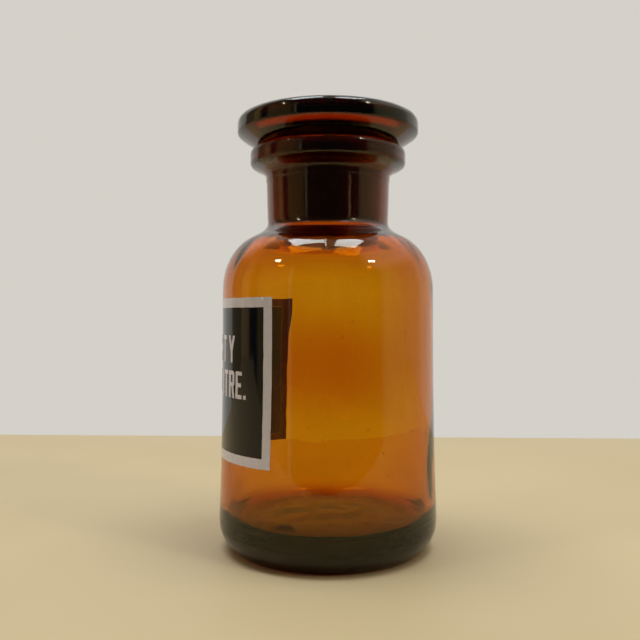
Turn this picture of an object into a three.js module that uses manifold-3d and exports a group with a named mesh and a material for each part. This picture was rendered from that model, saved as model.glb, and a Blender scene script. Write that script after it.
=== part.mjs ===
// Wide-mouth reagent bottle, 250 ml, amber glass, with a ground disc-head stopper
// and a fired enamel label. Millimetres, +Z up, label facing -Y, origin at the
// centre of the base.

import * as THREE from 'three';
import { mergeVertices } from 'three/addons/utils/BufferGeometryUtils.js';
import Module from 'manifold-3d';

const wasm = await Module();
wasm.setup();

// Revolved pieces
const FACETS = 48;              // sides of every revolved piece, so that plug and bore line up
const CURVE_STEPS = 4;          // chords along each rounded stretch of an outline

// Bottle body
const BODY_R = 35;              // straight wall where it meets the shoulder
const HEEL_R = 36.17;           // widest point, just above the foot
const HEEL_Z = 10.5;
const SHOULDER_Z = 85;
const WALL_FLARE = 2.6;         // power of the flare from shoulder to heel
const WALL_STOPS = 6;           // chords along the wall
const WALL_TOP = 2.1;           // glass thickness of the body at the shoulder
const WALL_FOOT = 1.8;          // and level with the table

// Base
const FOOT_INNER_R = 26;
const FOOT_OUTER_R = 31;
const PUNT_HEIGHT = 1.8;        // hollow under the middle of the base
const PUNT_FLAT_R = 18;         // reach of its nearly flat middle
const HEEL_CURVE_Z = 3.5;       // how far the heel stays tucked in above the table
const BASE_TOP_Z = 9.4;         // floor of the inside, at its rim
const BASE_DOME = 1;            // rise of that floor at the middle
const INNER_HEEL_R = 27;
const INNER_HEEL_Z = 14.5;
const INNER_HEEL_EXTRA = 0.4;   // extra glass where the wall turns into the base

// Shoulder, an ellipse centred inside the wall
const SHOULDER_CENTRE_R = 20;
const SHOULDER_RISE = 18.6;
const SHOULDER_SWEEP = THREE.MathUtils.degToRad(70);
const INNER_SHOULDER_CENTRE_R = 18;
const INNER_SHOULDER_RISE = 16.5;
const INNER_SHOULDER_SWEEP = THREE.MathUtils.degToRad(78);

// Neck and lip
const NECK_R = 20.1;
const NECK_CORNER_Z = 104.75;
const NECK_Z = 107;
const NECK_TOP_R = 20.5;
const COLLAR_Z = 120.9;         // fine step left by the neck ring of the mould
const COLLAR_STEP = 0.14;
const LIP_ROOT_Z = 122.2;
const LIP_UNDER_R = 24.4;
const LIP_UNDER_Z = 125.35;
const LIP_UNDER_CURVE = 1.5;    // height of the curve from the neck out to the underside
const LIP_R = 25.85;
const LIP_EDGE_Z = 127;
const LIP_EDGE_CURVE = 1;
const LIP_TOP_Z = 131.2;
const LIP_ROUND = 1.3;
const MOUTH_R = 21;             // where the flat lip starts to roll into the bore
const MOUTH_DEPTH = 2.4;
const THROAT_CURVE = 0.8;       // rise of the curve from the shoulder into the bore

// Ground joint, taper 1:10 on the diameter
const JOINT_TAPER = 0.05;       // change of radius for each millimetre of height
const PLUG_TOP_R = 17.3;
const PLUG_TOP_Z = 129.3;
const PLUG_BOTTOM_Z = 104.6;
const PLUG_EDGE = 1.2;
const PLUG_RING = 3.6;          // from the plug's side to the dish in its end
const PLUG_HOLLOW = 0.8;        // shallow dish in the plug's end
const JOINT_GAP = 0.08;         // radial clearance of plug in bore
const BORE_END_Z = 103.6;

// Stopper head
const HEAD_R = 30.1;
const HEAD_TOP_Z = 142.2;
const HEAD_SEAT_R = 19.8;       // flat under the head, next to the plug
const HEAD_SEAT_Z = 131.75;
const HEAD_ROOT = 0.3;          // height of the curve from the plug out to the seat
const HEAD_CONE_R = 23.4;
const HEAD_CONE_Z = 132.05;
const HEAD_EDGE_R = 29.2;
const HEAD_EDGE_Z = 135.85;
const HEAD_RIM_LOW_Z = 137.2;
const HEAD_RIM_HIGH_Z = 139.3;
const HEAD_FLAT_R = 27;
const HEAD_DISH_R = 24.5;       // recess in the top of the head
const HEAD_DISH = 3.4;
const HEAD_DISH_TURN_R = 21.5;  // radius of the turn at the foot of its wall
const HEAD_DISH_FLAT_R = 17.5;

// Enamel label
const LABEL_HALF_ARC = THREE.MathUtils.degToRad(63.6);
const LABEL_LOW_Z = 30.7;
const LABEL_HIGH_Z = 81.9;
const BORDER_WIDTH = 3;
const ENAMEL = 0.18;            // thickness of each layer
const ENAMEL_GAP = 0.12;        // clearance of each layer from the one below it
const LAYER_SPLIT = 0.06;       // gap between the field and its border
const LETTER_LIFT = 2 * ENAMEL_GAP + ENAMEL;
const LABEL_STEP = 4;           // longest chord along the label
const LABEL_ROWS = 4;           // chords up the label
const WELD = 1e-5;              // vertices closer than this are one

// Lettering
const CAP_HEIGHT = 8.45;
const LETTER_WIDTH = 3.9;
const STROKE = 1.25;
const LETTER_CORNER = 1.35;     // outer and inner radius of round letters
const LETTER_INNER_CORNER = 0.45;
const CORNER_STEPS = 3;
const BOWL = 0.42;              // foot of the bowl of P and R, as a share of the height
const LEG = 0.46;               // top of the leg of R
const MOUTH_LOW = 0.37;         // opening of C
const MOUTH_HIGH = 0.63;
const CROSSBAR = 0.2;           // bar of A and point of M
const FORK = 0.38;              // where the arms of Y leave its stem
const STEM = 0.45;
const TWO_BOWL = 0.45;          // bowl, cut and slope of 2
const TWO_CUT = 0.72;
const TWO_SLOPE = 0.6;
const FIVE_BOWL = 0.6;          // bowl, cut and stem of 5
const FIVE_CUT = 0.26;
const FIVE_STEM = 0.44;
const NARROW = 0.4;             // letters narrower or wider than most
const WIDE = 0.5;
const WIDEST = 1.2;
const THIN = 0.9;               // lighter strokes, as a share of the full stroke
const OVERLAP = 0.1;            // how far two strokes run into each other
const LEG_LEAN = 0.7;
const WORD_SPACE = 2.2;
const CUT_MARGIN = 1;           // how far a cut reaches past the letter
const LINES = [
  { name: 'upper', text: 'CAPACITY', width: 44.7, baseline: 61.8 },
  { name: 'lower', text: '250 MILLILITRE.', width: 57.2, baseline: 50.85 },
];

const AMBER = { color: 0x6e3608, roughness: 0.08, metalness: 0, transparent: true, opacity: 0.75 };
const WHITE_ENAMEL = { color: 0xd8ccca, roughness: 0.4, metalness: 0 };
const BLACK_ENAMEL = { color: 0x242220, roughness: 0.35, metalness: 0 };

// Outer radius of the body between heel and shoulder: a straight wall that flares at the foot.
function wallRadius(z) {
  const down = (SHOULDER_Z - z) / (SHOULDER_Z - HEEL_Z);
  return BODY_R + (HEEL_R - BODY_R) * Math.pow(Math.max(down, 0), WALL_FLARE);
}

// Glass thickness of the body, which runs thinner towards the foot.
function wallThickness(z) {
  return THREE.MathUtils.lerp(WALL_FOOT, WALL_TOP, z / SHOULDER_Z);
}

// Radius of the ground plug at a height.
function plugRadius(z) {
  return PLUG_TOP_R - JOINT_TAPER * (PLUG_TOP_Z - z);
}

// Revolve an outline (radius, height) about +Z, with a corner of the polygon at -Y.
function revolve(outline) {
  const geometry = new THREE.LatheGeometry(outline.getPoints(CURVE_STEPS), FACETS);
  geometry.rotateX(Math.PI / 2);
  return geometry;
}

function addBase(outline) {
  outline.moveTo(0, PUNT_HEIGHT);
  outline.quadraticCurveTo(PUNT_FLAT_R, PUNT_HEIGHT, FOOT_INNER_R, 0);
  outline.lineTo(FOOT_OUTER_R, 0);
  outline.quadraticCurveTo(HEEL_R, HEEL_CURVE_Z, HEEL_R, HEEL_Z);
}

function addOuterWall(outline) {
  for (let i = 1; i <= WALL_STOPS; i += 1) {
    const z = THREE.MathUtils.lerp(HEEL_Z, SHOULDER_Z, i / WALL_STOPS);
    outline.lineTo(wallRadius(z), z);
  }
  const spread = BODY_R - SHOULDER_CENTRE_R;
  outline.absellipse(SHOULDER_CENTRE_R, SHOULDER_Z, spread, SHOULDER_RISE, 0, SHOULDER_SWEEP, false, 0);
}

function addNeckAndLip(outline) {
  outline.quadraticCurveTo(NECK_R, NECK_CORNER_Z, NECK_R, NECK_Z);
  outline.lineTo(NECK_TOP_R, COLLAR_Z);
  outline.lineTo(NECK_TOP_R + COLLAR_STEP, COLLAR_Z + COLLAR_STEP);
  outline.lineTo(NECK_TOP_R + COLLAR_STEP, LIP_ROOT_Z);
  outline.quadraticCurveTo(NECK_TOP_R + COLLAR_STEP, LIP_UNDER_Z - LIP_UNDER_CURVE, LIP_UNDER_R, LIP_UNDER_Z);
  outline.quadraticCurveTo(LIP_R, LIP_EDGE_Z - LIP_EDGE_CURVE, LIP_R, LIP_EDGE_Z);
  outline.lineTo(LIP_R, LIP_TOP_Z - LIP_ROUND);
  outline.quadraticCurveTo(LIP_R, LIP_TOP_Z, LIP_R - LIP_ROUND, LIP_TOP_Z);
  outline.lineTo(MOUTH_R, LIP_TOP_Z);
}

function addInside(outline) {
  const mouthZ = LIP_TOP_Z - MOUTH_DEPTH;
  const boreTop = plugRadius(mouthZ) + JOINT_GAP;
  const boreEnd = plugRadius(BORE_END_Z) + JOINT_GAP;
  outline.quadraticCurveTo(boreTop, LIP_TOP_Z, boreTop, mouthZ);
  outline.lineTo(boreEnd, BORE_END_Z);
  const spread = BODY_R - WALL_TOP - INNER_SHOULDER_CENTRE_R;
  const topR = INNER_SHOULDER_CENTRE_R + spread * Math.cos(INNER_SHOULDER_SWEEP);
  const topZ = SHOULDER_Z + INNER_SHOULDER_RISE * Math.sin(INNER_SHOULDER_SWEEP);
  outline.quadraticCurveTo(boreEnd, topZ + THROAT_CURVE, topR, topZ);
  outline.absellipse(INNER_SHOULDER_CENTRE_R, SHOULDER_Z, spread, INNER_SHOULDER_RISE,
    INNER_SHOULDER_SWEEP, 0, true, 0);
  outline.lineTo(wallRadius(SHOULDER_Z / 2) - wallThickness(SHOULDER_Z / 2), SHOULDER_Z / 2);
  const heelR = wallRadius(INNER_HEEL_Z) - wallThickness(INNER_HEEL_Z) - INNER_HEEL_EXTRA;
  outline.lineTo(heelR, INNER_HEEL_Z);
  outline.quadraticCurveTo(heelR, BASE_TOP_Z, INNER_HEEL_R, BASE_TOP_Z);
  outline.quadraticCurveTo(INNER_HEEL_R / 2, BASE_TOP_Z + BASE_DOME, 0, BASE_TOP_Z + BASE_DOME);
}

// One closed outline: under the base, up the outside, over the lip and down the inside.
function bottleGeometry() {
  const outline = new THREE.Path();
  addBase(outline);
  addOuterWall(outline);
  addNeckAndLip(outline);
  addInside(outline);
  return revolve(outline);
}

function addPlug(outline) {
  outline.moveTo(0, PLUG_BOTTOM_Z + PLUG_HOLLOW);
  const endR = plugRadius(PLUG_BOTTOM_Z);
  outline.quadraticCurveTo(endR / 2, PLUG_BOTTOM_Z + PLUG_HOLLOW, endR - PLUG_RING, PLUG_BOTTOM_Z);
  outline.lineTo(endR - PLUG_EDGE, PLUG_BOTTOM_Z);
  const sideZ = PLUG_BOTTOM_Z + PLUG_EDGE;
  outline.quadraticCurveTo(endR, PLUG_BOTTOM_Z, plugRadius(sideZ), sideZ);
  outline.lineTo(plugRadius(PLUG_TOP_Z), PLUG_TOP_Z);
}

function addHead(outline) {
  outline.quadraticCurveTo(plugRadius(HEAD_SEAT_Z), HEAD_SEAT_Z - HEAD_ROOT, HEAD_SEAT_R, HEAD_SEAT_Z);
  outline.lineTo(HEAD_CONE_R, HEAD_CONE_Z);
  outline.lineTo(HEAD_EDGE_R, HEAD_EDGE_Z);
  outline.quadraticCurveTo(HEAD_R, (HEAD_EDGE_Z + HEAD_RIM_LOW_Z) / 2, HEAD_R, HEAD_RIM_LOW_Z);
  outline.lineTo(HEAD_R, HEAD_RIM_HIGH_Z);
  outline.quadraticCurveTo(HEAD_R, HEAD_TOP_Z, HEAD_FLAT_R, HEAD_TOP_Z);
  outline.lineTo(HEAD_DISH_R, HEAD_TOP_Z);
  const dishZ = HEAD_TOP_Z - HEAD_DISH;
  outline.quadraticCurveTo(HEAD_DISH_TURN_R, dishZ, HEAD_DISH_FLAT_R, dishZ);
  outline.lineTo(0, dishZ);
}

function stopperGeometry() {
  const outline = new THREE.Path();
  addPlug(outline);
  addHead(outline);
  return revolve(outline);
}

// Wrap a flat piece (x along the arc, y up, z outwards) round the body, `lift` off the glass.
function wrapOntoWall(geometry, lift) {
  const position = geometry.getAttribute('position');
  for (let i = 0; i < position.count; i += 1) {
    const height = position.getY(i);
    const angle = position.getX(i) / wallRadius(height);
    const radius = wallRadius(height) + lift + position.getZ(i);
    position.setXYZ(i, radius * Math.sin(angle), -radius * Math.cos(angle), height);
  }
  geometry.computeVertexNormals();
  return geometry;
}

// Corners of a rectangle with extra points along its sides, so that it can follow the curve.
function dividedRectangle(halfWidth, bottom, top, across, up) {
  const points = [];
  for (let i = 0; i < across; i += 1) {
    points.push([THREE.MathUtils.lerp(-halfWidth, halfWidth, i / across), bottom]);
  }
  for (let i = 0; i < up; i += 1) {
    points.push([halfWidth, THREE.MathUtils.lerp(bottom, top, i / up)]);
  }
  for (let i = 0; i < across; i += 1) {
    points.push([THREE.MathUtils.lerp(halfWidth, -halfWidth, i / across), top]);
  }
  for (let i = 0; i < up; i += 1) {
    points.push([-halfWidth, THREE.MathUtils.lerp(top, bottom, i / up)]);
  }
  return points;
}

// Two triangles between two neighbouring pairs of points, split along the shorter diagonal.
function splitQuad(points, a, b, c, d) {
  const short = points[a].distanceTo(points[c]) <= points[b].distanceTo(points[d]);
  return short ? [a, b, c, a, c, d] : [a, b, d, b, c, d];
}

// Flat frame between two loops of points, a rectangle in section.
function flatFrame(outer, inner, depth) {
  const count = outer.length;
  const loops = [[outer, 0], [outer, depth], [inner, depth], [inner, 0]];
  const points = loops.flatMap(([loop, z]) => loop.map(([x, y]) => new THREE.Vector3(x, y, z)));
  const indices = [];
  for (let side = 0; side < loops.length; side += 1) {
    const here = side * count;
    const there = ((side + 1) % loops.length) * count;
    for (let i = 0; i < count; i += 1) {
      const next = (i + 1) % count;
      indices.push(...splitQuad(points, here + i, here + next, there + next, there + i));
    }
  }
  const geometry = new THREE.BufferGeometry().setFromPoints(points);
  geometry.setIndex(indices);
  return geometry;
}

function labelHalfWidth() {
  return LABEL_HALF_ARC * BODY_R;
}

function borderGeometry() {
  const half = labelHalfWidth();
  const across = Math.ceil(2 * half / LABEL_STEP);
  const outer = dividedRectangle(half, LABEL_LOW_Z, LABEL_HIGH_Z, across, LABEL_ROWS);
  const low = LABEL_LOW_Z + BORDER_WIDTH;
  const high = LABEL_HIGH_Z - BORDER_WIDTH;
  const inner = dividedRectangle(half - BORDER_WIDTH, low, high, across, LABEL_ROWS);
  return wrapOntoWall(flatFrame(outer, inner, ENAMEL), ENAMEL_GAP);
}

function fieldGeometry() {
  const width = 2 * (labelHalfWidth() - BORDER_WIDTH - LAYER_SPLIT);
  const height = LABEL_HIGH_Z - LABEL_LOW_Z - 2 * (BORDER_WIDTH + LAYER_SPLIT);
  const across = Math.ceil(width / LABEL_STEP);
  const flat = new THREE.BoxGeometry(width, height, ENAMEL, across, LABEL_ROWS, 1);
  flat.translate(0, (LABEL_LOW_Z + LABEL_HIGH_Z) / 2, ENAMEL / 2);
  return wrapOntoWall(flat, ENAMEL_GAP);
}

// Solid for manifold-3d from a three.js geometry.
function toSolid(geometry) {
  const plain = geometry.clone();
  plain.deleteAttribute('normal');
  plain.deleteAttribute('uv');
  const merged = mergeVertices(plain, WELD);
  return new wasm.Manifold(new wasm.Mesh({
    numProp: 3,
    vertProperties: new Float32Array(merged.getAttribute('position').array),
    triVerts: new Uint32Array(merged.getIndex().array),
  }));
}

function toGeometry(solid) {
  const mesh = solid.getMesh();
  const geometry = new THREE.BufferGeometry();
  geometry.setAttribute('position', new THREE.BufferAttribute(mesh.vertProperties, mesh.numProp));
  geometry.setIndex(new THREE.BufferAttribute(mesh.triVerts, 1));
  return geometry;
}

function extruded(shape) {
  const options = { depth: ENAMEL, bevelEnabled: false, curveSegments: CORNER_STEPS };
  return toSolid(new THREE.ExtrudeGeometry(shape, options));
}

// Straight stroke of a letter, as a rectangle.
function bar(left, bottom, right, top) {
  const corners = [[left, bottom], [right, bottom], [right, top], [left, top]];
  return extruded(new THREE.Shape(corners.map(([x, y]) => new THREE.Vector2(x, y))));
}

// Sloping stroke with level ends: `lowX` and `highX` are its left edges at the two heights.
function slant(lowX, low, highX, high, thickness = STROKE) {
  const corners = [[lowX, low], [lowX + thickness, low], [highX + thickness, high], [highX, high]];
  return extruded(new THREE.Shape(corners.map(([x, y]) => new THREE.Vector2(x, y))));
}

function roundedRectangle(left, bottom, right, top, corner) {
  const shape = new THREE.Shape();
  shape.moveTo(left + corner, bottom);
  shape.lineTo(right - corner, bottom);
  shape.quadraticCurveTo(right, bottom, right, bottom + corner);
  shape.lineTo(right, top - corner);
  shape.quadraticCurveTo(right, top, right - corner, top);
  shape.lineTo(left + corner, top);
  shape.quadraticCurveTo(left, top, left, top - corner);
  shape.lineTo(left, bottom + corner);
  shape.quadraticCurveTo(left, bottom, left + corner, bottom);
  return shape;
}

// Closed round stroke of a letter, such as the bowl of a P.
function ring(left, bottom, right, top) {
  const shape = roundedRectangle(left, bottom, right, top, LETTER_CORNER);
  const [innerLeft, innerBottom] = [left + STROKE, bottom + STROKE];
  const [innerRight, innerTop] = [right - STROKE, top - STROKE];
  shape.holes.push(roundedRectangle(innerLeft, innerBottom, innerRight, innerTop, LETTER_INNER_CORNER));
  return extruded(shape);
}

function join(first, ...others) {
  return others.reduce((whole, piece) => whole.add(piece), first);
}

// Take a rectangle out of a letter, right through its thickness.
function open(solid, left, bottom, right, top) {
  const corners = [[left, bottom], [right, bottom], [right, top], [left, top]];
  const shape = new THREE.Shape(corners.map(([x, y]) => new THREE.Vector2(x, y)));
  const block = new THREE.ExtrudeGeometry(shape, { depth: ENAMEL + 2 * CUT_MARGIN, bevelEnabled: false });
  block.translate(0, 0, -CUT_MARGIN);
  return solid.subtract(toSolid(block));
}

const H = CAP_HEIGHT;
const W = LETTER_WIDTH;
const S = STROKE;

const GLYPHS = {
  A: {
    width: W + WIDE,
    draw: (w) => join(
      slant(0, 0, (w - S - OVERLAP) / 2, H),
      slant(w - S, 0, (w - S + OVERLAP) / 2, H),
      bar(S * THIN, H * CROSSBAR, w - S * THIN, H * CROSSBAR + S * THIN),
    ),
  },
  C: {
    width: W,
    draw: (w) => open(ring(0, 0, w, H), w / 2, H * MOUTH_LOW, w + CUT_MARGIN, H * MOUTH_HIGH),
  },
  E: {
    width: W - NARROW,
    draw: (w) => join(
      bar(0, 0, S, H),
      bar(S / 2, 0, w, S),
      bar(S / 2, H - S, w, H),
      bar(S / 2, (H - S) / 2, w - NARROW, (H + S) / 2),
    ),
  },
  I: { width: S, draw: (w) => bar(0, 0, w, H) },
  L: { width: W - NARROW, draw: (w) => join(bar(0, 0, S, H), bar(S / 2, 0, w, S)) },
  M: {
    width: W + WIDEST,
    draw: (w) => join(
      bar(0, 0, S * THIN, H),
      bar(w - S * THIN, 0, w, H),
      slant((w - S) / 2, H * CROSSBAR, OVERLAP, H),
      slant((w - S) / 2, H * CROSSBAR, w - S - OVERLAP, H),
    ),
  },
  P: { width: W, draw: (w) => join(bar(0, 0, S, H), ring(0, H * BOWL, w, H)) },
  R: {
    width: W,
    draw: (w) => join(
      bar(0, 0, S, H),
      ring(0, H * BOWL, w, H),
      slant(w - S, 0, w - S - LEG_LEAN, H * LEG),
    ),
  },
  T: { width: W, draw: (w) => join(bar((w - S) / 2, 0, (w + S) / 2, H), bar(0, H - S, w, H)) },
  Y: {
    width: W + WIDE,
    draw: (w) => join(
      bar((w - S) / 2, 0, (w + S) / 2, H * STEM),
      slant((w - S) / 2, H * FORK, 0, H),
      slant((w - S) / 2, H * FORK, w - S, H),
    ),
  },
  0: { width: W, draw: (w) => ring(0, 0, w, H) },
  2: {
    width: W,
    draw: (w) => join(
      open(ring(0, H * TWO_BOWL, w, H), -CUT_MARGIN, 0, w - S, H * TWO_CUT),
      slant(0, S / 2, w - S, H * TWO_SLOPE),
      bar(0, 0, w, S),
    ),
  },
  5: {
    width: W,
    draw: (w) => join(
      open(ring(0, 0, w, H * FIVE_BOWL), -CUT_MARGIN, H * FIVE_CUT, S + OVERLAP, H * FIVE_STEM),
      bar(0, H * FIVE_STEM, S, H),
      bar(S / 2, H - S, w, H),
    ),
  },
  '.': { width: S, draw: (w) => bar(0, 0, w, S) },
};

// One mesh for each character, spread evenly over the width of its line.
function letteringMeshes(line) {
  const letters = [...line.text];
  const widths = letters.map((letter) => (letter === ' ' ? WORD_SPACE : GLYPHS[letter].width));
  const inked = widths.reduce((sum, width) => sum + width, 0);
  const space = (line.width - inked) / (letters.length - 1);
  const meshes = [];
  let left = -line.width / 2;
  letters.forEach((letter, index) => {
    if (letter !== ' ') {
      const flat = toGeometry(GLYPHS[letter].draw(widths[index]));
      flat.translate(left, line.baseline, 0);
      const name = `letter_${line.name}_${meshes.length + 1}`;
      meshes.push(mesh(name, wrapOntoWall(flat, LETTER_LIFT), WHITE_ENAMEL));
    }
    left += widths[index] + space;
  });
  return meshes;
}

function mesh(name, geometry, look) {
  const piece = new THREE.Mesh(geometry, new THREE.MeshStandardMaterial(look));
  piece.name = name;
  return piece;
}

const label = new THREE.Group();
label.add(mesh('label_border', borderGeometry(), WHITE_ENAMEL));
label.add(mesh('label_field', fieldGeometry(), BLACK_ENAMEL));
for (const line of LINES) {
  label.add(...letteringMeshes(line));
}

const reagentBottle = new THREE.Group();
reagentBottle.add(mesh('bottle', bottleGeometry(), AMBER));
reagentBottle.add(mesh('stopper', stopperGeometry(), AMBER));
reagentBottle.add(label);

export default reagentBottle;
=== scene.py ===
"""Looks of a wide-mouth amber reagent bottle with a ground stopper and a fired enamel label."""
import math
import random

import bmesh
import bpy
from mathutils import Matrix, Vector, noise


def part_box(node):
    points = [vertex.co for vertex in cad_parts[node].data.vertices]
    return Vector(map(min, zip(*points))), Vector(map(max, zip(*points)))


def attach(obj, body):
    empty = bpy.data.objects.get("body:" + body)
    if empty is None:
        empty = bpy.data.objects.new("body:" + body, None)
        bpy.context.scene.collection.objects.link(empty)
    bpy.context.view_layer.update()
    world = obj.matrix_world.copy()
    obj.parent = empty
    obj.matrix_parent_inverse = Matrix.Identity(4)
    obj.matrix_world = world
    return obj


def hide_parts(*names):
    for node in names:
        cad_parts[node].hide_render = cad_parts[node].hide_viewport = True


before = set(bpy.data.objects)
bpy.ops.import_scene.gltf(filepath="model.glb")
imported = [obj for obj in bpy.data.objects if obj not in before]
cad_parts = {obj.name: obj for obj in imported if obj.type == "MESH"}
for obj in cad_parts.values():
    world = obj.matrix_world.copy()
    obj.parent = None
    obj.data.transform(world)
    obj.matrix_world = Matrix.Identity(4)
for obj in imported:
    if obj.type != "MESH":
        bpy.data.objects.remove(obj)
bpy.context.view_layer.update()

MM = 0.001
TAU = 2 * math.pi

# The camera stands level with the middle of the bottle, square to the label's right-hand edge.
VIEW_AZIMUTH = math.radians(92.2)
VIEW_DISTANCE = 249.3 * MM
VIEW_HEIGHT = 76.06 * MM
VIEW_PITCH = math.radians(-0.25)
VIEW_ASIDE = 2.62 * MM
LENS = 41.75

# Radius of the body where it is straight, on which the label is measured
BODY_RADIUS = 35 * MM
WALL_LEAST_RADIUS = 30 * MM

# Stage
FLOOR_BEHIND = 221 * MM
FLOOR_FRONT = 170 * MM
FLOOR_HALF_WIDTH = 1.3
FLOOR_THICKNESS = 0.03
FLOOR_CLOUDS = 9
FLOOR_ROUGHNESS = 0.6
FLOOR_COLOURS = ((0.5, 0.385, 0.185), (0.525, 0.405, 0.2))

# Resolution of the revolved glass
SIDES = 288
OUTLINE_STEP = 0.8 * MM
SEAM_ANGLES = (math.radians(90), math.radians(270))
SEAM_WIDTH = 0.35 * MM
SEAM_HEIGHT = 0.07 * MM
SEAM_REACH = 4
SEAM_STEPS = 8
SEAM_FADE = (8 * MM, 12 * MM)
LIP_FADE = 2 * MM

# Absorption of the amber glass for red, green and blue, in 1/m
GLASS_ABSORPTION = (92, 325, 1500)
STOPPER_ABSORPTION = (158, 500, 1900)
GLASS_IOR = 1.52
GLASS_SHEEN = (0.9, 0.84, 0.56)

# Roughness of polished and of ground glass, each from its smoothest to its roughest patches
POLISH = (0.012, 0.05)
GROUND_EDGE = 0.4 * MM
MATT = (0.45, 0.65)
# Base colour of the ground zone: painted shade that darkens the light coming through the ground joint
GROUND_JOINT_PAINTED_SHADE = 0.55
GROUND_LOW = 104 * MM
GROUND_HIGH = 128.6 * MM
BORE_GROUND_HIGH = 130.8 * MM
BORE_FAR = 19.4 * MM
PLUG_NEAR = 15.9 * MM
PLUG_GROUND_LOW = 106 * MM
BORE_NEAR = 5 * MM
PLUG_FAR = 20 * MM

# Texture of the glass surface: scales of its noise, with the stretch up the glass where it has one
SMEARS = 70
SMEAR_STRETCH = (1, 1, 0.5)
GRAIN = 2600
DIMPLES = 110
STREAKS = 240
STREAK_STRETCH = (1, 1, 0.1)
CORD_LUMPS = 1400
CORD_STRETCH = (1, 1, 0.6)
CORD_SWAY = 260
DENSITY_MARGIN = 1.02

# Unevenness of the blown inside wall, and of the pressed outside
INSIDE_WAVE = 0.26 * MM
OUTSIDE_WAVE = 0.035 * MM
RIPPLE = 0.045 * MM
RIPPLE_TURNS = 7
RIPPLE_RISE = 90
UPPER_RIPPLE = 1.6
UPPER_FADE = (60 * MM, 90 * MM)
BELT = 1.35 * MM
BELT_HEIGHT = 59.5 * MM
BELT_SPREAD = 15 * MM
FOOT_EXTRA = 0.22 * MM
FOOT_FADE = (28 * MM, 44 * MM)
BASE_WAVE = 0.22 * MM
BASE_LUMPS = 160
BASE_FADE = (11 * MM, 13 * MM)
HEEL_FADE = (4 * MM, 14 * MM)
NECK_FADE = 6 * MM
BELT_ANGLE = math.radians(86)
BELT_REACH = 0.75
PARTING_HEIGHT = 7.3 * MM
PARTING_WIDTH = 0.3 * MM
PARTING = 0.12 * MM
INSIDE_SEED = 3.7
OUTSIDE_SEED = 9.1
OUTSIDE_RATES = (1.2, 16)

# Seeds (small bubbles) in the wall
SEED = 821
SEEDS = 46
SEED_HEIGHTS = (14 * MM, 84 * MM)
SEED_DEPTH = 1.05 * MM
SEED_SIZES = (0.07 * MM, 0.24 * MM)

# Ragged cord up the outside of the neck
CORD_ANGLE = math.radians(111)
CORD_WIDTH = 0.4 * MM
CORD_LOW = 106.5 * MM
CORD_HIGH = 120.5 * MM

# Enamel: how far each layer is sunk into the glass and stands proud of it
FIELD_DEPTH = (-0.03 * MM, 0.07 * MM)
BORDER_DEPTH = (-0.03 * MM, 0.09 * MM)
LETTER_DEPTH = (0.05 * MM, 0.12 * MM)
ENAMEL_CUT = 1.0 * MM
ENAMEL_RIM = math.radians(30)
EDGE_WAVE = 2.2 * MM
EDGE_WOBBLE = 0.09 * MM
ENAMEL_CLOUDS = 700
ENAMEL_SPECULAR = 0.38

# The room, as radiance by direction round the bottle from the camera's side (degrees, + to the right)
ROOM = (
    (-180, (0.66, 0.635, 0.585)),
    (-123, (0.7, 0.67, 0.61)),
    (-120, (0.22, 0.17, 0.1)),
    (-104, (0.22, 0.17, 0.1)),
    (-101, (0.62, 0.42, 0.2)),
    (-92, (0.6, 0.4, 0.19)),
    (-88, (0.03, 0.035, 0.05)),
    (-79, (0.03, 0.035, 0.05)),
    (-76, (0.36, 0.27, 0.13)),
    (-46, (0.32, 0.24, 0.12)),
    (-41, (0.07, 0.06, 0.05)),
    (-39.5, (0.5, 0.5, 0.46)),
    (-37.5, (0.5, 0.5, 0.46)),
    (-36, (0.03, 0.03, 0.035)),
    (58, (0.03, 0.03, 0.035)),
    (64, (0.36, 0.4, 0.32)),
    (112, (0.44, 0.44, 0.38)),
    (122, (0.7, 0.66, 0.6)),
    (180, (0.66, 0.635, 0.585)),
)
BACKDROP = (0.66, 0.635, 0.585)

# The same bands higher up, and the colour right overhead
ROOM_ABOVE = (
    (-180, (0.85, 0.81, 0.78)),
    (-130, (1.2, 1.12, 1.08)),
    (-108, (0.3, 0.22, 0.15)),
    (-60, (0.2, 0.15, 0.1)),
    (-40, (0.06, 0.06, 0.06)),
    (44, (0.06, 0.06, 0.06)),
    (62, (0.95, 0.95, 0.95)),
    (180, (1.0, 0.97, 0.95)),
)
OVERHEAD = (0.45, 0.45, 0.47)
ROOM_TIERS = (24, 36, 58, 68)

# Ceiling panels: place over the table (towards the camera's side, to the right) and their two sizes
PANEL_HEIGHT = 1.25
PANELS = (
    (0.0, -0.295, 0.42, 0.47),
    (0.12, 0.31, 0.5, 0.38),
)
PANEL_RADIANCE = 10.5
PANEL_COLOUR = (0.86, 0.95, 1.2)

# Small lamps: azimuth to the right of the camera's side, elevation, distance, size and radiance
LAMP_COLOUR = (1.0, 0.97, 0.9)
LAMPS = (
    (-62, 40, 1.5, (0.16, 0.06), 40),
    (57, 40, 1.5, (0.18, 0.08), 60),
)


# ---------------------------------------------------------------- outlines from the CAD solids

def half_plane_outline(node):
    """Outline (radius, height) of a revolved CAD node, read from its vertices on the -Y half-plane."""
    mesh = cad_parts[node].data
    def key(co):
        return (round(-co.y * 1e6), round(co.z * 1e6))
    on_plane = {v.index: key(v.co) for v in mesh.vertices if abs(v.co.x) < 1e-6 and v.co.y < 1e-6}
    links = {}
    for edge in mesh.edges:
        a, b = edge.vertices
        if a in on_plane and b in on_plane and on_plane[a] != on_plane[b]:
            links.setdefault(on_plane[a], set()).add(on_plane[b])
            links.setdefault(on_plane[b], set()).add(on_plane[a])
    ends = sorted((p for p in links if p[0] == 0), key=lambda p: p[1])
    path, last = [ends[0]], None
    while path[-1] != ends[-1]:
        here = path[-1]
        ahead = [p for p in links[here] if p != last]
        last = here
        path.append(ahead[0])
    return [Vector((r * 1e-6, z * 1e-6)) for r, z in path]


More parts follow.
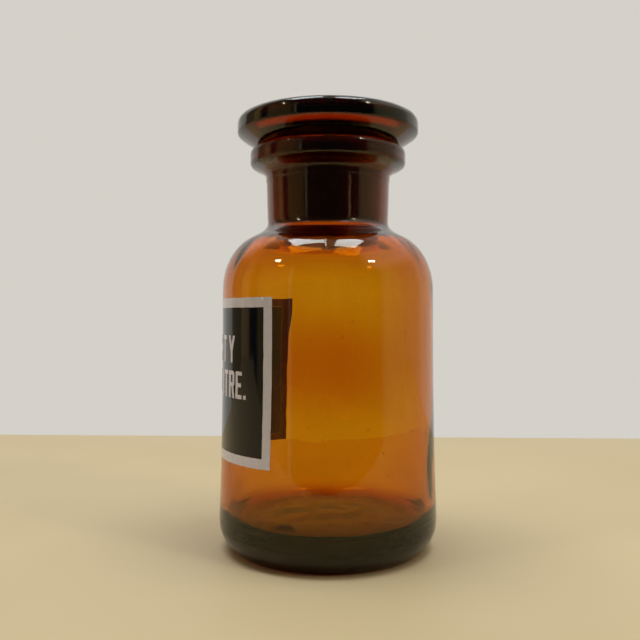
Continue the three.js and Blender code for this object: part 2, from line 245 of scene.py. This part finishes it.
def held_straight(points, ratio=2.5, inset=0.12):
    """Extra points near the ends of a stretch much longer than its neighbours, so it stays straight."""
    result = [points[0]]
    for i in range(1, len(points)):
        a, b = points[i - 1], points[i]
        length = (b - a).length
        before = (a - points[i - 2]).length if i > 1 else length
        after = (points[i + 1] - b).length if i + 1 < len(points) else length
        if length > ratio * min(before, after):
            result.append(a.lerp(b, inset))
            result.append(a.lerp(b, 1 - inset))
        result.append(b)
    return result


def smooth_outline(points, step=OUTLINE_STEP):
    """Centripetal Catmull-Rom curve through the outline's points."""
    points = held_straight(points)
    first = points[0] + (points[0] - points[1])
    last = points[-1] + (points[-1] - points[-2])
    padded = [first, *points, last]
    result = []
    for p0, p1, p2, p3 in zip(padded, padded[1:], padded[2:], padded[3:]):
        knots = [0.0]
        for a, b in ((p0, p1), (p1, p2), (p2, p3)):
            knots.append(knots[-1] + math.sqrt((b - a).length))
        count = max(1, round((p2 - p1).length / step))
        for i in range(count):
            result.append(catmull_rom(p0, p1, p2, p3, knots, i / count))
    result.append(points[-1])
    return result


def catmull_rom(p0, p1, p2, p3, knots, share):
    t0, t1, t2, t3 = knots
    t = t1 + (t2 - t1) * share
    a1 = p0 * ((t1 - t) / (t1 - t0)) + p1 * ((t - t0) / (t1 - t0))
    a2 = p1 * ((t2 - t) / (t2 - t1)) + p2 * ((t - t1) / (t2 - t1))
    a3 = p2 * ((t3 - t) / (t3 - t2)) + p3 * ((t - t2) / (t3 - t2))
    b1 = a1 * ((t2 - t) / (t2 - t0)) + a2 * ((t - t0) / (t2 - t0))
    b2 = a2 * ((t3 - t) / (t3 - t1)) + a3 * ((t - t1) / (t3 - t1))
    return b1 * ((t2 - t) / (t2 - t1)) + b2 * ((t - t1) / (t2 - t1))


def kept_inside(points, node):
    """The outline held inside its CAD node's box."""
    low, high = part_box(node)
    return [Vector((min(max(p.x, 0), high.x), min(max(p.y, low.z), high.z))) for p in points]


# ---------------------------------------------------------------- revolved glass

def around(seams):
    """Angles round the axis, from -Y towards +X, closer together at the mould seams."""
    angles = {round(TAU * i / SIDES, 6) for i in range(SIDES)}
    if seams:
        reach = SEAM_REACH * SEAM_WIDTH / BODY_RADIUS
        angles = {a for a in angles if all(abs(a - s) > reach for s in SEAM_ANGLES)}
        for seam in SEAM_ANGLES:
            angles |= {round(seam + reach * i / SEAM_STEPS, 6) for i in range(-SEAM_STEPS, SEAM_STEPS + 1)}
    return sorted(angles)


def revolve(name, outline, angles, shift):
    """Closed mesh of the outline turned about +Z. shift(angle, point, share) moves each point."""
    mesh = bpy.data.meshes.new(name)
    verts, faces = [], []
    count, turns = len(outline), len(angles)
    verts.append((0, 0, outline[0].y))
    for i in range(1, count - 1):
        for angle in angles:
            p = outline[i] + shift(angle, outline[i], i / (count - 1))
            verts.append((p.x * math.sin(angle), -p.x * math.cos(angle), p.y))
    verts.append((0, 0, outline[-1].y))
    last = len(verts) - 1
    for k in range(turns):
        after = (k + 1) % turns
        faces.append((0, 1 + after, 1 + k))
        for i in range(count - 3):
            a, b = 1 + i * turns, 1 + (i + 1) * turns
            faces.append((a + k, a + after, b + after, b + k))
        a = 1 + (count - 3) * turns
        faces.append((last, a + k, a + after))
    mesh.from_pydata(verts, [], faces)
    mesh.validate()
    for polygon in mesh.polygons:
        polygon.use_smooth = True
    piece = bpy.data.objects.new(name, mesh)
    bpy.context.scene.collection.objects.link(piece)
    return piece


def wave(angle, height, seed, turns=1.6, rise=28):
    """Slow, seamless waviness round and up the glass, between about -1 and 1."""
    place = Vector((turns * math.cos(angle), turns * math.sin(angle), height * rise + seed))
    return noise.noise(place) + 0.5 * noise.noise(place * 2.3)


def fade(value, start, end):
    """0 before start, 1 after end, smooth between."""
    t = min(max((value - start) / (end - start), 0), 1)
    return t * t * (3 - 2 * t)


def inside_shift(angle, height, radius, body):
    """Slow waves, a thick belt, a thicker foot and fine ripples, with lumps on the floor of the inside."""
    belt = math.exp(-((height - BELT_HEIGHT) / BELT_SPREAD) ** 2)
    belt *= math.exp(-(math.sin(angle - BELT_ANGLE) / BELT_REACH) ** 2)
    turned = Vector((RIPPLE_TURNS * math.cos(angle), RIPPLE_TURNS * math.sin(angle), height * RIPPLE_RISE))
    ripple = RIPPLE * (1 + UPPER_RIPPLE * fade(height, *UPPER_FADE)) * noise.noise(turned)
    foot = FOOT_EXTRA * (1 - fade(height, *FOOT_FADE))
    shift = INSIDE_WAVE * wave(angle, height, INSIDE_SEED) - BELT * belt - foot
    lumps = noise.noise(Vector((radius * math.sin(angle), -radius * math.cos(angle), 0)) * BASE_LUMPS)
    return Vector(((shift + ripple) * body, BASE_WAVE * lumps * (1 - fade(height, *BASE_FADE))))


def outside_shift(angle, height, radius, body):
    """Faint waves, the two mould seams and the parting line above the foot."""
    seam = min(abs(angle - s) for s in SEAM_ANGLES) * radius / SEAM_WIDTH
    ridge = math.exp(-seam * seam) * fade(height, *SEAM_FADE)
    ridge *= 1 - fade(height, LIP_LOW, LIP_LOW + LIP_FADE)
    parting = math.exp(-((height - PARTING_HEIGHT) / PARTING_WIDTH) ** 2)
    waves = wave(angle, height, OUTSIDE_SEED, *OUTSIDE_RATES) - 1
    return Vector((OUTSIDE_WAVE * waves * body + SEAM_HEIGHT * ridge + PARTING * parting, 0))


def bottle_shift(angle, point, share):
    """Blown unevenness: strong on the inside wall, faint outside, none on the foot, lip and bore."""
    body = fade(point.y, *HEEL_FADE) * (1 - fade(point.y, NECK_LOW - NECK_FADE, NECK_LOW))
    if share > MOUTH_SHARE:
        return inside_shift(angle, point.y, point.x, body)
    return outside_shift(angle, point.y, point.x, body)


def add_seeds(piece, count):
    """Small bubbles inside the wall, as closed hollows drawn out along the height."""
    draw = random.Random(SEED)
    bm = bmesh.new()
    for _ in range(count):
        angle, height = draw.uniform(0, TAU), draw.uniform(*SEED_HEIGHTS)
        radius = wall_radius(height) - SEED_DEPTH
        size = draw.uniform(*SEED_SIZES)
        at = Matrix.Translation((radius * math.sin(angle), -radius * math.cos(angle), height))
        shape = at @ Matrix.Diagonal((size, size, size * draw.uniform(1, 2.2), 1))
        bmesh.ops.create_icosphere(bm, subdivisions=2, radius=1, matrix=shape)
    bmesh.ops.reverse_faces(bm, faces=list(bm.faces))
    for face in bm.faces:
        face.smooth = True
    bm.from_mesh(piece.data)
    bm.to_mesh(piece.data)
    bm.free()


def no_shift(angle, point, share):
    return Vector((0, 0))


def wall_radius(height):
    """Outer radius of the CAD body wall at a height."""
    for a, b in zip(bottle_corners, bottle_corners[1:]):
        if a.y <= height <= b.y and a.x > WALL_LEAST_RADIUS:
            return a.x + (b.x - a.x) * (height - a.y) / (b.y - a.y)
    raise ValueError(height)


bottle_corners = half_plane_outline("bottle")
stopper_corners = half_plane_outline("stopper")
plug_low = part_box("stopper")[0].z
bottle_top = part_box("bottle")[1].z
NECK_LOW = plug_low - 1 * MM
LIP_LOW = bottle_top - 9 * MM

bottle_outline = kept_inside(smooth_outline(bottle_corners), "bottle")
stopper_outline = kept_inside(smooth_outline(stopper_corners), "stopper")
mouth = max(i for i, p in enumerate(bottle_outline) if p.y > bottle_top - 0.05 * MM)
MOUTH_SHARE = mouth / (len(bottle_outline) - 1)
bottle = revolve("bottle_glass", bottle_outline, around(True), bottle_shift)
add_seeds(bottle, SEEDS)
stopper = revolve("stopper_glass", stopper_outline, around(False), no_shift)


# ---------------------------------------------------------------- enamel label

def flattened(node):
    """Mesh of a label node unrolled from the wall: x along the arc, y up, z 0 at the back and 1 in front."""
    bm = bmesh.new()
    bm.from_mesh(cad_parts[node].data)
    bmesh.ops.remove_doubles(bm, verts=bm.verts, dist=0.002 * MM)
    depths = [math.hypot(v.co.x, v.co.y) - wall_radius(v.co.z) for v in bm.verts]
    middle = (min(depths) + max(depths)) / 2
    for v, depth in zip(bm.verts, depths):
        angle = math.atan2(v.co.x, -v.co.y)
        v.co = Vector((angle * BODY_RADIUS, v.co.z, 1.0 if depth > middle else 0.0))
    return bm


def cut_in_strips(bm, spacing, axis):
    low = min(v.co[axis] for v in bm.verts)
    high = max(v.co[axis] for v in bm.verts)
    normal = Vector((axis == 0, axis == 1, 0))
    at = math.ceil(low / spacing) * spacing
    while at < high:
        everything = list(bm.verts) + list(bm.edges) + list(bm.faces)
        bmesh.ops.bisect_plane(bm, geom=everything, dist=1e-8, plane_co=normal * at, plane_no=normal)
        at += spacing


def enamel_layer(name, nodes, depth):
    """One piece of enamel fused to the wall, from its CAD nodes."""
    whole = bmesh.new()
    mesh = bpy.data.meshes.new(name)
    for node in nodes:
        bm = flattened(node)
        cut_in_strips(bm, ENAMEL_CUT, 0)
        cut_in_strips(bm, ENAMEL_CUT, 1)
        for v in bm.verts:
            wobble = noise.noise_vector(Vector((v.co.x, v.co.y, 0)) / EDGE_WAVE) * EDGE_WOBBLE
            angle, height = (v.co.x + wobble.x) / BODY_RADIUS, v.co.y + wobble.y
            point = Vector((wall_radius(height), height))
            radius = point.x + bottle_shift(angle, point, 0).x + depth[0] + (depth[1] - depth[0]) * v.co.z
            v.co = Vector((radius * math.sin(angle), -radius * math.cos(angle), height))
        part = bpy.data.meshes.new(name)
        bm.to_mesh(part)
        bm.free()
        whole.from_mesh(part)
        bpy.data.meshes.remove(part)
    bmesh.ops.recalc_face_normals(whole, faces=whole.faces)
    for face in whole.faces:
        face.smooth = True
    whole.to_mesh(mesh)
    whole.free()
    mesh.set_sharp_from_angle(angle=ENAMEL_RIM)
    piece = bpy.data.objects.new(name, mesh)
    bpy.context.scene.collection.objects.link(piece)
    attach(piece, "bottle")
    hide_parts(*nodes)
    return piece


letter_nodes = sorted(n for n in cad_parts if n.startswith("letter_"))
border = enamel_layer("label_border_enamel", ["label_border"], BORDER_DEPTH)
field = enamel_layer("label_field_enamel", ["label_field"], FIELD_DEPTH)
letters = [enamel_layer(node + "_enamel", [node], LETTER_DEPTH) for node in letter_nodes]


# ---------------------------------------------------------------- materials

def new_material(name):
    material = bpy.data.materials.new(name)
    material.use_nodes = True
    tree = material.node_tree
    tree.nodes.clear()
    output = tree.nodes.new("ShaderNodeOutputMaterial")
    shader = tree.nodes.new("ShaderNodeBsdfPrincipled")
    tree.links.new(shader.outputs["BSDF"], output.inputs["Surface"])
    return material, tree, shader, output


def maths(tree, operation, first, second=None, third=None):
    node = tree.nodes.new("ShaderNodeMath")
    node.operation = operation
    for socket, value in zip(node.inputs, (first, second, third)):
        if isinstance(value, (int, float)):
            socket.default_value = value
        elif value is not None:
            tree.links.new(value, socket)
    return node.outputs["Value"]


def remapped(tree, value, start, end, low=0.0, high=1.0):
    """low before start, high after end, smooth between; start may be the larger of the two."""
    node = tree.nodes.new("ShaderNodeMapRange")
    node.interpolation_type = "SMOOTHSTEP"
    if start > end:
        start, end, low, high = end, start, high, low
    for label, number in (("From Min", start), ("From Max", end), ("To Min", low), ("To Max", high)):
        node.inputs[label].default_value = number
    tree.links.new(value, node.inputs["Value"])
    return node.outputs["Result"]


def mixed(tree, factor, first, second):
    node = tree.nodes.new("ShaderNodeMix")
    node.data_type = "RGBA"
    tree.links.new(factor, node.inputs["Factor"])
    for label, value in (("A", first), ("B", second)):
        socket = next(i for i in node.inputs if i.name == label and i.type == "RGBA")
        if isinstance(value, tuple):
            socket.default_value = (*value, 1)
        else:
            tree.links.new(value, socket)
    return next(o for o in node.outputs if o.type == "RGBA")


def object_place(tree):
    """Object coordinates, with the radius from the axis and the height as separate values."""
    place = tree.nodes.new("ShaderNodeTexCoord").outputs["Object"]
    split = tree.nodes.new("ShaderNodeSeparateXYZ")
    tree.links.new(place, split.inputs["Vector"])
    x, y, height = (split.outputs[axis] for axis in "XYZ")
    square = maths(tree, "MULTIPLY_ADD", x, x, maths(tree, "MULTIPLY", y, y))
    radius = maths(tree, "SQRT", square)
    return place, radius, height


def texture(tree, place, scale, detail=3, stretch=(1, 1, 1)):
    mapping = tree.nodes.new("ShaderNodeMapping")
    mapping.inputs["Scale"].default_value = stretch
    tree.links.new(place, mapping.inputs["Vector"])
    node = tree.nodes.new("ShaderNodeTexNoise")
    node.inputs["Scale"].default_value = scale
    node.inputs["Detail"].default_value = detail
    tree.links.new(mapping.outputs["Vector"], node.inputs["Vector"])
    return node.outputs["Fac"]


def bumped(tree, height, strength, distance, below=None):
    node = tree.nodes.new("ShaderNodeBump")
    node.inputs["Strength"].default_value = strength
    node.inputs["Distance"].default_value = distance
    tree.links.new(height, node.inputs["Height"])
    if below is not None:
        tree.links.new(below, node.inputs["Normal"])
    return node.outputs["Normal"]


def cord_mask(tree, place, height):
    """1 along one ragged vertical line up the outside of the neck."""
    across = tree.nodes.new("ShaderNodeVectorMath")
    across.operation = "DOT_PRODUCT"
    across.inputs[1].default_value = (math.cos(CORD_ANGLE), math.sin(CORD_ANGLE), 0)
    tree.links.new(place, across.inputs[0])
    outwards = tree.nodes.new("ShaderNodeVectorMath")
    outwards.operation = "DOT_PRODUCT"
    outwards.inputs[1].default_value = (math.sin(CORD_ANGLE), -math.cos(CORD_ANGLE), 0)
    tree.links.new(place, outwards.inputs[0])
    wander = texture(tree, place, CORD_SWAY, 3, (0, 0, 1))
    sway = maths(tree, "MULTIPLY_ADD", wander, 3 * CORD_WIDTH, -1.5 * CORD_WIDTH)
    off = maths(tree, "ABSOLUTE", maths(tree, "ADD", across.outputs["Value"], sway))
    line = remapped(tree, off, CORD_WIDTH, 0.2 * CORD_WIDTH)
    outside = remapped(tree, outwards.outputs["Value"], 19 * MM, 19.5 * MM)
    mask = maths(tree, "MULTIPLY", line, outside)
    mask = maths(tree, "MULTIPLY", mask, remapped(tree, height, CORD_LOW, CORD_LOW + 1 * MM))
    return maths(tree, "MULTIPLY", mask, remapped(tree, height, CORD_HIGH, CORD_HIGH - 1 * MM))


def amber_glass(name, absorption, low, high, near, far):
    """Amber glass, polished all over but ground matt between two heights and two radii, where painted shade
    darkens the base colour.
    """
    material, tree, shader, output = new_material(name)
    place, radius, height = object_place(tree)
    above = remapped(tree, height, low - GROUND_EDGE, low)
    below = remapped(tree, height, high + GROUND_EDGE, high)
    ground = maths(tree, "MULTIPLY", above, below)
    ground = maths(tree, "MULTIPLY", ground, remapped(tree, radius, near - GROUND_EDGE, near))
    ground = maths(tree, "MULTIPLY", ground, remapped(tree, radius, far + GROUND_EDGE, far))
    smears = texture(tree, place, SMEARS, 4, SMEAR_STRETCH)
    grain = texture(tree, place, GRAIN, 2)
    polish = remapped(tree, smears, 0.45, 0.7, POLISH[0], POLISH[1])
    matt = remapped(tree, smears, 0.3, 0.7, MATT[0], MATT[1])
    polished = maths(tree, "MULTIPLY", polish, maths(tree, "SUBTRACT", 1, ground))
    rough = maths(tree, "ADD", maths(tree, "MULTIPLY", matt, ground), polished)
    tree.links.new(rough, shader.inputs["Roughness"])
    dimples = bumped(tree, texture(tree, place, DIMPLES, 2), 0.3, 0.1 * MM)
    dimples = bumped(tree, texture(tree, place, STREAKS, 3, STREAK_STRETCH), 0.25, 0.05 * MM, dimples)
    matted = bumped(tree, maths(tree, "MULTIPLY", grain, ground), 0.6, 0.06 * MM, dimples)
    lumps = texture(tree, place, CORD_LUMPS, 3, CORD_STRETCH)
    lumps = maths(tree, "MULTIPLY", lumps, cord_mask(tree, place, height))
    tree.links.new(bumped(tree, lumps, 1.0, 3.5 * MM, matted), shader.inputs["Normal"])
    # The ground zone's darker base colour is painted shade that dims the light through the joint
    tree.links.new(mixed(tree, ground, (1, 1, 1), (GROUND_JOINT_PAINTED_SHADE, GROUND_JOINT_PAINTED_SHADE, GROUND_JOINT_PAINTED_SHADE)), shader.inputs["Base Color"])
    shader.inputs["Specular Tint"].default_value = (*GLASS_SHEEN, 1)
    shader.inputs["Transmission Weight"].default_value = 1
    shader.inputs["IOR"].default_value = GLASS_IOR
    volume = tree.nodes.new("ShaderNodeVolumeAbsorption")
    density = max(absorption) * DENSITY_MARGIN
    volume.inputs["Density"].default_value = density
    volume.inputs["Color"].default_value = (*[1 - a / density for a in absorption], 1)
    tree.links.new(volume.outputs["Volume"], output.inputs["Volume"])
    return material


def enamel(name, colour, mottle, roughness):
    """Fired enamel: colour clouded at a fine scale, with a slightly uneven gloss."""
    material, tree, shader, output = new_material(name)
    shader.inputs["Specular IOR Level"].default_value = ENAMEL_SPECULAR
    place = tree.nodes.new("ShaderNodeTexCoord").outputs["Object"]
    clouds = texture(tree, place, ENAMEL_CLOUDS, 6)
    shades = tree.nodes.new("ShaderNodeValToRGB")
    dark, light = shades.color_ramp.elements
    dark.position, light.position = 0.35, 0.7
    dark.color = (*[c * (1 - mottle) for c in colour], 1)
    light.color = (*colour, 1)
    tree.links.new(clouds, shades.inputs["Fac"])
    tree.links.new(shades.outputs["Color"], shader.inputs["Base Color"])
    gloss = tree.nodes.new("ShaderNodeMapRange")
    gloss.inputs["To Min"].default_value = roughness * 0.7
    gloss.inputs["To Max"].default_value = roughness * 1.3
    tree.links.new(clouds, gloss.inputs["Value"])
    tree.links.new(gloss.outputs["Result"], shader.inputs["Roughness"])
    tree.links.new(bumped(tree, clouds, 0.12, 0.05 * MM), shader.inputs["Normal"])
    return material


white_enamel = enamel("white_enamel", (0.8, 0.76, 0.8), 0.07, 0.22)
black_enamel = enamel("black_enamel", (0.005, 0.0045, 0.004), 0.3, 0.06)
for piece in (border, *letters):
    piece.data.materials.append(white_enamel)
field.data.materials.append(black_enamel)

amber = amber_glass("amber_glass", GLASS_ABSORPTION, GROUND_LOW, BORE_GROUND_HIGH, BORE_NEAR, BORE_FAR)
stopper_amber = amber_glass(
    "stopper_amber_glass", STOPPER_ABSORPTION, PLUG_GROUND_LOW, GROUND_HIGH, PLUG_NEAR, PLUG_FAR)
bottle.data.materials.append(amber)
stopper.data.materials.append(stopper_amber)
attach(bottle, "bottle")
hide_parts("bottle")
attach(stopper, "stopper")
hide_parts("stopper")


# ---------------------------------------------------------------- stage, lights and camera

def add_floor():
    mesh = bpy.data.meshes.new("floor")
    bm = bmesh.new()
    bmesh.ops.create_cube(bm, size=1)
    size = (FLOOR_BEHIND + FLOOR_FRONT, 2 * FLOOR_HALF_WIDTH, FLOOR_THICKNESS)
    middle = ((FLOOR_FRONT - FLOOR_BEHIND) / 2, 0, -FLOOR_THICKNESS / 2)
    bmesh.ops.scale(bm, vec=size, verts=bm.verts)
    bmesh.ops.translate(bm, vec=middle, verts=bm.verts)
    bm.to_mesh(mesh)
    bm.free()
    floor = bpy.data.objects.new("floor", mesh)
    bpy.context.scene.collection.objects.link(floor)
    material, tree, shader, output = new_material("floor_paint")
    place = tree.nodes.new("ShaderNodeTexCoord").outputs["Object"]
    clouds = remapped(tree, texture(tree, place, FLOOR_CLOUDS, 4), 0.3, 0.7)
    tree.links.new(mixed(tree, clouds, *FLOOR_COLOURS), shader.inputs["Base Color"])
    shader.inputs["Roughness"].default_value = FLOOR_ROUGHNESS
    mesh.materials.append(material)


def add_camera():
    data = bpy.data.cameras.new("camera")
    data.lens = LENS
    data.sensor_width = 36
    data.clip_start = 0.01
    camera = bpy.data.objects.new("camera", data)
    bpy.context.scene.collection.objects.link(camera)
    outwards = Vector((math.sin(VIEW_AZIMUTH), -math.cos(VIEW_AZIMUTH), 0))
    right = Vector((math.cos(VIEW_AZIMUTH), math.sin(VIEW_AZIMUTH), 0))
    camera.location = outwards * VIEW_DISTANCE - right * VIEW_ASIDE + Vector((0, 0, VIEW_HEIGHT))
    camera.rotation_euler = (math.pi / 2 + VIEW_PITCH, 0, VIEW_AZIMUTH)
    bpy.context.scene.camera = camera


def banded(tree, share, bands):
    """Colour ramp from bands of (degrees, colour), where share runs from 0 at -180 to 1 at 180 degrees."""
    node = tree.nodes.new("ShaderNodeValToRGB")
    stops = node.color_ramp.elements
    stops[0].color = (*bands[0][1], 1)
    stops[1].color = (*bands[-1][1], 1)
    for degrees, colour in bands[1:-1]:
        stops.new((degrees + 180) / 360).color = (*colour, 1)
    tree.links.new(share, node.inputs["Fac"])
    return node.outputs["Color"]


def add_world():
    """The room as light: bands by direction round the bottle, a dim ceiling, and a plain backdrop."""
    world = bpy.data.worlds.new("room")
    bpy.context.scene.world = world
    world.use_nodes = True
    tree = world.node_tree
    background = tree.nodes["Background"]
    place = tree.nodes.new("ShaderNodeTexCoord")
    split = tree.nodes.new("ShaderNodeSeparateXYZ")
    tree.links.new(place.outputs["Generated"], split.inputs["Vector"])
    turn = tree.nodes.new("ShaderNodeMath")
    turn.operation = "ARCTAN2"
    tree.links.new(split.outputs["Y"], turn.inputs[0])
    tree.links.new(split.outputs["X"], turn.inputs[1])
    share = tree.nodes.new("ShaderNodeMapRange")
    share.inputs["From Min"].default_value = -math.pi
    share.inputs["From Max"].default_value = math.pi
    tree.links.new(turn.outputs["Value"], share.inputs["Value"])
    room = banded(tree, share.outputs["Result"], ROOM)
    above = banded(tree, share.outputs["Result"], ROOM_ABOVE)
    height = split.outputs["Z"]
    low, middle, high, top = (math.sin(math.radians(angle)) for angle in ROOM_TIERS)
    tier = mixed(tree, remapped(tree, height, low, middle), room, above)
    ceiling = mixed(tree, remapped(tree, height, high, top), tier, OVERHEAD)
    path = tree.nodes.new("ShaderNodeLightPath")
    seen = mixed(tree, path.outputs["Is Camera Ray"], ceiling, BACKDROP)
    tree.links.new(seen, background.inputs["Color"])


def add_area_light(name, size, radiance, colour):
    data = bpy.data.lights.new(name, "AREA")
    data.shape = "RECTANGLE"
    data.size, data.size_y = size
    data.energy = radiance * math.pi * size[0] * size[1]
    data.color = colour
    light = bpy.data.objects.new(name, data)
    bpy.context.scene.collection.objects.link(light)
    return light


def add_lights():
    """Soft ceiling panels, which light the table, and small lamps: all show as glints on the shoulder."""
    for index, (azimuth, elevation, distance, size, radiance) in enumerate(LAMPS):
        lamp = add_area_light(f"lamp_{index + 1}", size, radiance, LAMP_COLOUR)
        turn, tilt = math.radians(azimuth), math.radians(elevation)
        aim = Vector((math.cos(tilt) * math.cos(turn), math.cos(tilt) * math.sin(turn), math.sin(tilt)))
        lamp.location = aim * distance
        lamp.rotation_euler = aim.to_track_quat("Z", "Y").to_euler()
    for index, (towards, right, length, width) in enumerate(PANELS):
        size = (length, width)
        panel = add_area_light(f"ceiling_panel_{index + 1}", size, PANEL_RADIANCE, PANEL_COLOUR)
        panel.location = (towards, right, PANEL_HEIGHT)


add_camera()
add_floor()
add_world()
add_lights()
bpy.context.scene.view_settings.view_transform = "Standard"
bpy.context.scene.cycles.max_bounces = 32
bpy.context.scene.cycles.transmission_bounces = 32
